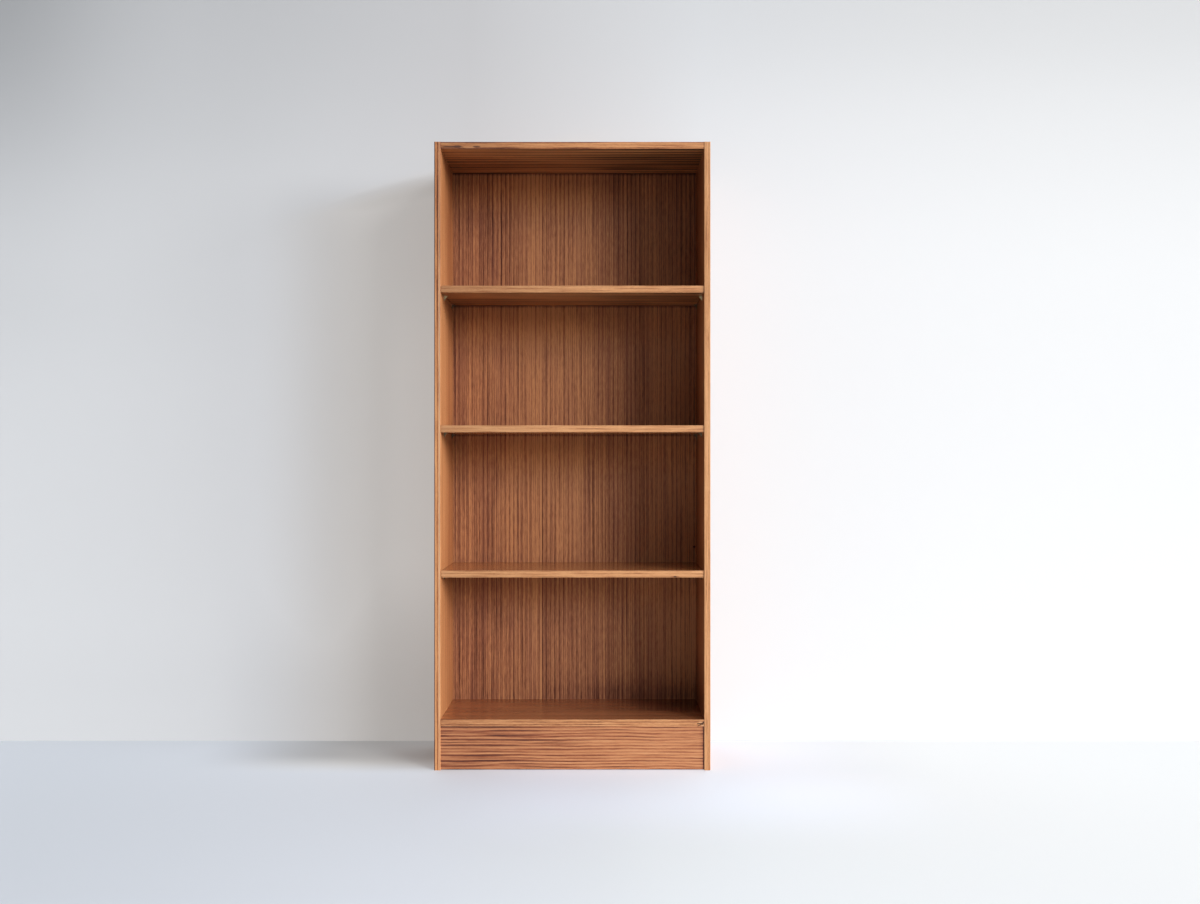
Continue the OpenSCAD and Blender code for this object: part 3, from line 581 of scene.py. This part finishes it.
tinge = back.noise(back.z * often, back.x * fine, seed).rise(*backVeneer["tintFrom"])
face = back.mixed(tinge * share, back.ramp(dark, backVeneer["stops"]), tint)
face = back.mixed(back.zones(backVeneer["underBoards"]), face, backVeneer["underShadeTint"], "MULTIPLY")
level, plainShare, fibreShare = backVeneer["rearTone"]
rearFace = back.ramp(plain * plainShare + fibre * fibreShare + level, backVeneer["rearStops"])
back.feed(Base_Color=back.mixed(back.zone(backVeneer["rearZone"]) * backVeneer["rearShare"], face, rearFace))
surfaced(back, backVeneer, fibre, pores)
back.on("back_panel")


# the nodes whose names hold one of the words
def named(*words):
    return [name for name in nodes if any(word in name for word in words)]


# noise as fine in every direction, with a place of its own
def specks(finish, fine, seed=0.0, detail=2.0):
    return finish.noise(finish.x * fine, finish.y * fine, finish.z * fine + seed, detail)


# a metal whose sheen varies by fine specks
metalLook = {"fine": 900.0, "swing": 0.2, "darker": 0.7}


def metal(name, rough, seed):
    finish = Finish(name, Metallic=1.0)
    speck = specks(finish, metalLook["fine"], seed, 3.0)
    finish.feed(Roughness=rough + (speck - 0.5) * metalLook["swing"])
    return finish, speck


# a metal of one colour, a little darker in its specks
def plainMetal(name, colour, rough, seed):
    finish, speck = metal(name, rough, seed)
    darker = tuple(v * metalLook["darker"] for v in colour[:3]) + (1.0,)
    finish.feed(Base_Color=finish.mixed(speck, colour, darker))
    return finish


# the supports are painted darker at the rear and under the lower shelves, as painted shade
supportLook = {
    "rough": 0.55, "seed": 1.0, "fine": 500.0, "bright": tone(222, 210, 172), "grey": tone(196, 184, 148),
    "dull": tone(72, 54, 40), "paintedShadeZones": [(0.85, ("y", -0.04, 0.08)), (0.68, ("z", 1.30, 1.10))],
}
nickel, speck = metal("supportNickel", supportLook["rough"], supportLook["seed"])
colour = nickel.mixed(specks(nickel, supportLook["fine"]), supportLook["bright"], supportLook["grey"])
dull = highest([nickel.zone(spans) * amount for amount, *spans in supportLook["paintedShadeZones"]])
nickel.feed(Base_Color=nickel.mixed(dull, colour, supportLook["dull"]))
nickel.on(*named("supports"))

# colour, roughness and seed
metals = {"camZinc": (tone(186, 188, 190), 0.45, 2.0), "fastenerSteel": (tone(190, 190, 188), 0.38, 3.0)}
zinc, steel = (plainMetal(name, *look) for name, look in metals.items())
zinc.on(*named("cam_disc"))
steel.on(*named("cam_bolt", "screws"))

# beech has short dark flecks along its grain; the dowels that stand up are the ones nearer the middle
beechLook = {
    "standingWithin": 0.3, "flecks": (260.0, 1500.0), "flecksFrom": (0.56, 0.70), "clouds": (40.0, 500.0),
    "pale": tone(232, 194, 146), "dark": tone(178, 130, 88), "shares": (0.6, 0.4),
    "rough": (0.58, 0.14), "relief": (0.0001, 0.5), "flecksLie": 0.5,
}
beech = Finish("dowelBeech")
lies = abs(beech.x).over(beechLook["standingWithin"])
along = beech.x * lies + beech.z * (1.0 - lies)
across = beech.z * lies + beech.x * (1.0 - lies)
often, fine = beechLook["flecks"]
fleck = beech.noise(along * often, across * fine, beech.y * fine, 1.0).rise(*beechLook["flecksFrom"])
often, fine = beechLook["clouds"]
clouds = beech.noise(along * often, across * fine, beech.y * fine, 3.0)
cloudShare, fleckShare = beechLook["shares"]
level, swing = beechLook["rough"]
beech.feed(Base_Color=beech.mixed(clouds * cloudShare + fleck * fleckShare, beechLook["pale"], beechLook["dark"]),
           Roughness=level + fleck * swing)
beech.bump(clouds - fleck * beechLook["flecksLie"], *beechLook["relief"])
beech.on(*named("dowel"))

# the brown caps over the cam discs
capLook = {"fine": 700.0, "grain": 4000.0, "tones": (tone(150, 98, 64), tone(130, 82, 52)), "rough": (0.42, 0.16),
           "relief": (0.00005, 0.4)}
cap = Finish("capPlastic")
speck = specks(cap, capLook["fine"])
level, swing = capLook["rough"]
cap.feed(Base_Color=cap.mixed(speck, *capLook["tones"]), Roughness=level + speck * swing)
cap.bump(specks(cap, capLook["grain"]), *capLook["relief"])
cap.on(*named("cap"))
print("finishes set")


# a profile's corners rounded: each corner p is cut back to a and b, at most 0.4 of the way to the next one, and
# bridged by (1-t)^2 a + 2t(1-t) p + t^2 b
def eased(corners, ease):
    corners, most = np.array(corners, float), 0.4
    before, here, after = corners[:-2], corners[1:-1], corners[2:]
    toBefore, toAfter = before - here, after - here
    a = here + toBefore * np.minimum(ease / np.linalg.norm(toBefore, axis=1, keepdims=True), most)
    b = here + toAfter * np.minimum(ease / np.linalg.norm(toAfter, axis=1, keepdims=True), most)
    t = np.array([0.0, 0.5, 1.0])[:, None]
    curve = (1 - t) ** 2 * a[:, None] + 2 * t * (1 - t) * here[:, None] + t ** 2 * b[:, None]
    return np.vstack([corners[:1], curve.reshape(-1, 2), corners[-1:]])


# more rows on a profile where its height lies between two values: equal steps of its own length
def filled(profile, low, high, step):
    far = np.concatenate([[0.0], np.cumsum(np.linalg.norm(np.diff(profile, axis=0), axis=1))])
    fine = np.arange(step, far[-1], step)
    height = np.interp(fine, far, profile[:, 0])
    spots = np.unique(np.round(np.concatenate([far, fine[(height >= low) & (height <= high)]]), 3))
    return np.column_stack([np.interp(spots, far, profile[:, 0]), np.interp(spots, far, profile[:, 1])])


# a thread: beside its ridge, which climbs one pitch in each turn, the radius is less by a share of itself
def threaded(h, r, a, look):
    low, high = look["thread"]
    ridge = np.clip(1.0 - np.abs((h / look["pitch"] - a / (2 * np.pi)) % 1.0 - 0.5) / look["ridge"], 0.0, 1.0)
    fade = np.clip((h - low) / look["pitch"], 0.0, 1.0) * np.clip((high - h) / look["pitch"], 0.0, 1.0)
    return h, r * (1.0 - look["depth"] * (1.0 - ridge) * fade)


# flutes: the radius is at most the dowel's own, less a depth that comes and goes with the cosine of the angle
def fluted(h, r, a, look):
    return h, np.minimum(r, look["radius"] - look["depth"] * (0.5 + 0.5 * np.cos(look["flutes"] * a)) ** 2)


# a cross recess: inside two crossed slots the head's face lies lower; the shank has a thread
def crossed(h, r, a, look):
    h, r = threaded(h, r, a, look)
    aside, upward = np.abs(r * np.cos(a)), np.abs(r * np.sin(a))
    wide, long = look["slot"]
    inside = (np.minimum(aside, upward) < wide / 2) & (np.maximum(aside, upward) < long / 2) & (h > look["floor"])
    return np.where(inside, look["floor"], h), r


# a turned piece at several places: origin + h axis + r (side cos a + up sin a), with the profile's height h and
# radius r changed by the piece's own shape at each angle a; a single point closes each end; all in millimetres
def turned(name, standsFor, finish, look, places):
    profile = filled(eased(look["corners"], look["ease"]), *look["rows"])
    angle = np.linspace(0.0, 2 * np.pi, look["around"], endpoint=False)[None, :]
    h, r = look["shape"](profile[:, :1] + 0 * angle, profile[:, 1:] + 0 * angle, angle, look)
    origin, axis, side = (np.array(part, float)[:, None, None, :] for part in zip(*places))
    up = np.cross(axis, side)
    points = origin + h[..., None] * axis + (r * np.cos(angle))[..., None] * side + (r * np.sin(angle))[..., None] * up
    points = np.concatenate([points[:, 0, :1], points[:, 1:-1].reshape(len(places), -1, 3), points[:, -1, :1]], axis=1)
    count = points.shape[1]
    here = np.arange(1, count - 1).reshape(-1, look["around"])
    beside = np.roll(here, -1, axis=1)
    quads = np.stack([here[:-1], beside[:-1], beside[1:], here[1:]], axis=-1).reshape(-1, 4)
    first = np.stack([0 * here[0], beside[0], here[0]], axis=-1)
    last = np.stack([0 * here[0] + count - 1, here[-1], beside[-1]], axis=-1)
    starts = np.arange(len(places))[:, None, None] * count
    faces = [face for part in (quads, first, last) for face in (part + starts).reshape(-1, part.shape[1]).tolist()]
    mesh = bpy.data.meshes.new(name)
    mesh.from_pydata((points.reshape(-1, 3) * 0.001).tolist(), [], faces)
    mesh.shade_smooth()
    mesh.set_sharp_from_angle(angle=math.radians(look["sharp"]))
    piece = placed(name, mesh)
    finish.on(piece)
    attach(piece, "carcass")
    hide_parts(standsFor)


# where the fasteners sit, in millimetres; a row is a depth
seats = {
    "face": 382.0,                                        # the side panels' inner faces, from the middle
    "top": 1810.0, "bottom": 137.0,                       # the heights of the boards' middles
    "boltRows": (-90.0, 75.0), "dowelRows": (-58.0, 43.0),
    "plinthRow": (-138.0,), "plinthBolt": 44.0, "plinthDowel": 76.0,
    "standing": ((-190.0, -138.0, 127.0), (190.0, -138.0, 127.0)),
    "screwRow": (140.0, 137.0), "screws": (-360.0, 360.0, 5),
}


# places in both side panels' inner faces, at a height, for rows at several depths; the height h runs outward
def inSides(rows, z):
    return [((side * seats["face"], y, z), (side, 0, 0), (0, 0, 1)) for side in (-1, 1) for y in rows]


# a cam bolt: a head for the disc, a neck, a shank, a collar against the panel, and a coarse thread
boltLook = {
    "corners": [(-21.2, 0.0), (-21.2, 3.2), (-20.05, 3.2), (-18.9, 1.7), (-15.9, 1.7), (-15.9, 3.0), (-1.2, 3.0),
                (-1.2, 3.7), (0.0, 3.7), (0.0, 2.5), (11.0, 2.5), (11.0, 0.0)],
    "ease": 0.25, "rows": (0.1, 11.0, 0.3), "around": 36, "sharp": 40.0,
    "shape": threaded, "thread": (0.3, 20.0), "pitch": 2.4, "depth": 0.27, "ridge": 0.22,
}
for name, standsFor, places in (("topBolts", "top_cam_bolts", inSides(seats["boltRows"], seats["top"])),
                                ("bottomBolts", "bottom_cam_bolts", inSides(seats["boltRows"], seats["bottom"])),
                                ("plinthBolts", "plinth_cam_bolts", inSides(seats["plinthRow"], seats["plinthBolt"]))):
    turned(name, standsFor, steel, boltLook, places)

# a beech dowel with chamfered ends and flutes for the glue
dowelLook = {
    "corners": [(-20.0, 0.0), (-20.0, 3.5), (-19.0, 4.0), (9.0, 4.0), (10.0, 3.5), (10.0, 0.0)],
    "ease": 0.3, "rows": (-20.0, 10.0, 1.0), "around": 120, "sharp": 50.0,
    "shape": fluted, "radius": 4.0, "flutes": 20, "depth": 0.25,
}
inPlinth = inSides(seats["plinthRow"], seats["plinthDowel"])
inPlinth += [(spot, (0, 0, 1), (1, 0, 0)) for spot in seats["standing"]]
for name, standsFor, places in (("topDowels", "top_dowels", inSides(seats["dowelRows"], seats["top"])),
                                ("bottomDowels", "bottom_dowels", inSides(seats["dowelRows"], seats["bottom"])),
                                ("plinthDowels", "plinth_dowels", inPlinth)):
    turned(name, standsFor, beech, dowelLook, places)

# a round-headed screw of the back panel: a pointed thread, a dome over a rim, and a cross recess
domeLook = {"rim": 0.9, "height": 1.5, "radius": 3.5, "turn": 55.0, "turns": (0.0, 18.4, 36.7, 55.0)}   # degrees
tall = domeLook["height"] / math.sin(math.radians(domeLook["turn"]))
dome = [(domeLook["rim"] + tall * math.sin(turn), domeLook["radius"] * math.cos(turn))
        for turn in map(math.radians, domeLook["turns"])]
screwLook = {
    "corners": [(-25.0, 0.0), (-21.0, 1.75), (0.0, 1.75), (0.0, 3.5)] + dome + [(2.4, 0.0)],
    "ease": 0.12, "rows": (-25.0, 2.5, 0.17), "around": 48, "sharp": 40.0,
    "shape": crossed, "thread": (-30.0, -3.0), "pitch": 1.35, "depth": 0.34, "ridge": 0.25,
    "slot": (1.0, 3.6), "floor": 1.2,
}
turned("backScrews", "back_panel_screws", steel, screwLook,
       [((x, *seats["screwRow"]), (0, 1, 0), (1, 0, 0)) for x in np.linspace(*seats["screws"])])
print("fasteners made")


# one flat face of the stage
def sheet(name, corners, finish):
    mesh = bpy.data.meshes.new(name)
    mesh.from_pydata(corners, [], [(0, 1, 2, 3)])
    piece = placed(name, mesh)
    finish.on(piece)


# the room: half its width, the wall's height and its place; black is what a colour is mixed with to weaken it
room = {"half": 9.0, "high": 6.0, "wall": 0.199}
black = tone(0, 0, 0)

# the floor: painted light, paler from left to right, a glow of its own, and painted shade and the painted warm light
# of the wood round the case
before = (("y", -0.85, -0.42), ("x", -0.45, 0.0), ("x", 1.1, 0.5))
behind = (("x", -1.20, -0.72), ("y", -0.17, 0.04), ("x", 0.35, 0.0))
floorLook = {
    "across": (-1.6, 1.6),
    "stops": [(0.0, tone(209, 216, 225)), (0.35, tone(230, 236, 245)), (0.6, tone(244, 250, 255)),
              (1.0, tone(249, 253, 255))],
    "given": (tone(90, 90, 90), tone(235, 235, 235)),   # its colour for other things: far before the case and near it
    "givenZone": [("y", -3.2, -0.8)],
    "glow": 0.25,
    # painted light and shade: more glow to the right and before the case, less beside it at the right, and much less
    # behind it at its left, as its shadow
    "glowZones": [(0.045, ("x", 0.0, 0.55)), (0.070, *before), (-0.25, *behind),
                  (-0.075, ("x", 0.34, 0.46), ("x", 1.15, 0.75), ("y", -0.40, -0.12))],
    # painted light: warmer, as from the wood, in the case's shadow at its left, and bluer before the case
    "tints": [((1.06, 1.0, 0.91), ("x", -1.10, -0.60), ("x", 0.2, -0.2), ("y", -0.20, -0.05)),
              ((1.015, 1.025, 1.085), *before)],
    # a painted shadow at the case's left foot
    "corner": [(0.10, ("x", -0.74, -0.50), ("x", -0.30, -0.40), ("y", -0.19, -0.11), ("y", 0.05, -0.05))],
    # behind the case at its left, less of the lit colour is kept, as a painted shadow
    "weaker": 0.22, "weakerZones": [(0.12, *behind)],   # how much of its colour is left to the glow
}
ground = Finish("floorPaint", Roughness=0.9, Emission_Strength=1.0)
seen = ground.shownTo()
colour = ground.tinted(ground.ramp(ground.x.rise(*floorLook["across"]), floorLook["stops"]), floorLook["tints"])
colour = ground.mixed(ground.zones(floorLook["corner"]), colour, black)
given = ground.mixed(ground.zone(floorLook["givenZone"]), *floorLook["given"])
glow = floorLook["glow"] + ground.zones(floorLook["glowZones"])
lit = ground.mixed(floorLook["weaker"] + ground.zones(floorLook["weakerZones"]), colour, black)
ground.feed(Base_Color=ground.mixed(seen, given, lit), Emission_Color=ground.mixed(seen * glow, black, colour))
half = room["half"]
sheet("floor", [(-half, -half, 0), (half, -half, 0), (half, half, 0), (-half, half, 0)], ground)

# the wall: a tone from left to right, the fall of light upward and to the left, and the shade that the case throws
# on it, whose upper edge slants
wallLook = {
    "across": (-2.2, 1.8),
    "stops": [(0.0, tone(216, 219, 223)), (0.45, tone(217, 218, 221)), (0.72, tone(243, 246, 250)),
              (1.0, tone(250, 252, 254))],
    "drop": [(0.17, ("z", 1.45, 2.5)), (0.09, ("z", 1.45, 2.5), ("x", -0.3, -1.2)),
             (0.22, ("z", 1.45, 2.5), ("x", -1.2, -1.9)), (0.05, ("z", 1.95, 2.40), ("x", -0.25, 0.65)),
             (0.05, ("z", 0.9, 1.5), ("x", -1.45, -1.9)), (0.03, ("z", 0.40, 0.15), ("x", -0.75, -1.2)),
             (0.03, ("z", 1.10, 1.45), ("z", 2.3, 1.9), ("x", -0.75, -1.2))],
    "dropTone": tone(60, 62, 66),
    "slant": (0.27, 1.94),   # the slanting edge's slope, and its height at the case's middle
    "shade": [(0.12, ("x", -1.05, -0.80), ("x", -0.60, -0.80), ("z", 1.85, 1.65)),
              (0.10, ("edge", 0.012, -0.012), ("edge", -0.085, -0.035), ("x", -1.0, -0.8), ("x", -0.30, -0.42)),
              (0.20, ("z", 0.60, 0.10), ("x", -1.20, -0.80), ("x", 0.2, -0.2))],
    "shadeTone": tone(92, 80, 72),
    # beside the case the wood's own colour comes back from the wall, and lower down more light
    "tints": [((1.06, 1.02, 0.96), ("x", -1.05, -0.60), ("x", 0.2, -0.2), ("edge", 0.03, -0.05)),
              ((1.06, 1.06, 1.06), ("x", -0.66, -0.54), ("x", -0.30, -0.40), ("z", 0.30, 0.60), ("z", 1.55, 1.20))],
    "lit": 0.52, "glow": 0.48,   # what shares of its colour are lit and glow
}
wall = Finish("wallPaint", Roughness=0.9, Emission_Strength=1.0)
slope, height = wallLook["slant"]
wall.edge = wall.z - wall.x * slope - height
colour = wall.ramp(wall.x.rise(*wallLook["across"]), wallLook["stops"])
colour = wall.mixed(wall.zones(wallLook["drop"]), colour, wallLook["dropTone"])
shade = highest([wall.zone(spans) * amount for amount, *spans in wallLook["shade"]])
colour = wall.tinted(wall.mixed(shade, colour, wallLook["shadeTone"]), wallLook["tints"])
wall.feed(Base_Color=wall.mixed(wallLook["lit"], black, colour),
          Emission_Color=wall.mixed(wallLook["glow"], black, colour))
# it is clear from behind, and to the light that goes to other things
facing = 1.0 - wall.add("ShaderNodeNewGeometry", {}, {}, "Backfacing")
clear = wall.add("ShaderNodeBsdfTransparent", {}, {})
paint = Reading(wall, wall.shader.outputs["BSDF"])
shown = wall.add("ShaderNodeMixShader", {}, {0: wall.shownTo() * facing, 1: clear, 2: paint})
wall.give(wall.out.inputs["Surface"], shown)
y, high = room["wall"], room["high"]
sheet("wall", [(-half, y, 0), (half, y, 0), (half, y, high), (-half, y, high)], wall)

# each lamp: its light, degrees to the right of the front, degrees up, and how wide it looks from the case
lamps = {"keyLamp": (1.80, 44.0, 17.0, 25.0), "windowLamp": (1.40, 71.0, 9.0, 18.0)}
for name, (light, *angles) in lamps.items():
    turn, height, width = map(math.radians, angles)
    source = bpy.data.lights.new(name, "SUN")
    source.energy, source.angle = light, width
    toLamp = Vector((math.sin(turn) * math.cos(height), -math.cos(turn) * math.cos(height), math.sin(height)))
    placed(name, source).rotation_euler = toLamp.to_track_quat("Z", "Y").to_euler()

# the light from all round: a little everywhere, and more from some ways, each with its strength, its way, and how
# straight one has to look along it for it to start and to be full
skyLook = {
    "least": 0.01,
    "ways": [(0.85, (0.66, -0.74, 0.12), (0.50, 1.0)), (0.85, (0.0, 1.0, 0.0), (0.0, 0.4)),
             (0.45, (0.0, 0.0, 1.0), (0.45, 0.9))],
    "light": tone(252, 251, 252), "seen": tone(246, 247, 249),
}
world = bpy.data.worlds.new("roomLight")
bpy.context.scene.world = world
world.use_nodes = True
sky = Shading(world.node_tree)
looking = sky.add("ShaderNodeTexCoord", {}, {}, "Generated")
strength = skyLook["least"]
for light, way, full in skyLook["ways"]:
    way = tuple(v / math.hypot(*way) for v in way)
    straight = sky.add("ShaderNodeVectorMath", {"operation": "DOT_PRODUCT"}, {0: looking, 1: way}, "Value")
    strength = strength + straight.rise(*full) * light
around = sky.add("ShaderNodeBackground", {}, {"Color": skyLook["light"], "Strength": strength})
white = sky.add("ShaderNodeBackground", {}, {"Color": skyLook["seen"], "Strength": 1.0})
shown = sky.add("ShaderNodeMixShader", {}, {0: sky.shownTo(), 1: around, 2: white})
sky.give(sky.tree.nodes.new("ShaderNodeOutputWorld").inputs["Surface"], shown)
print("room set")
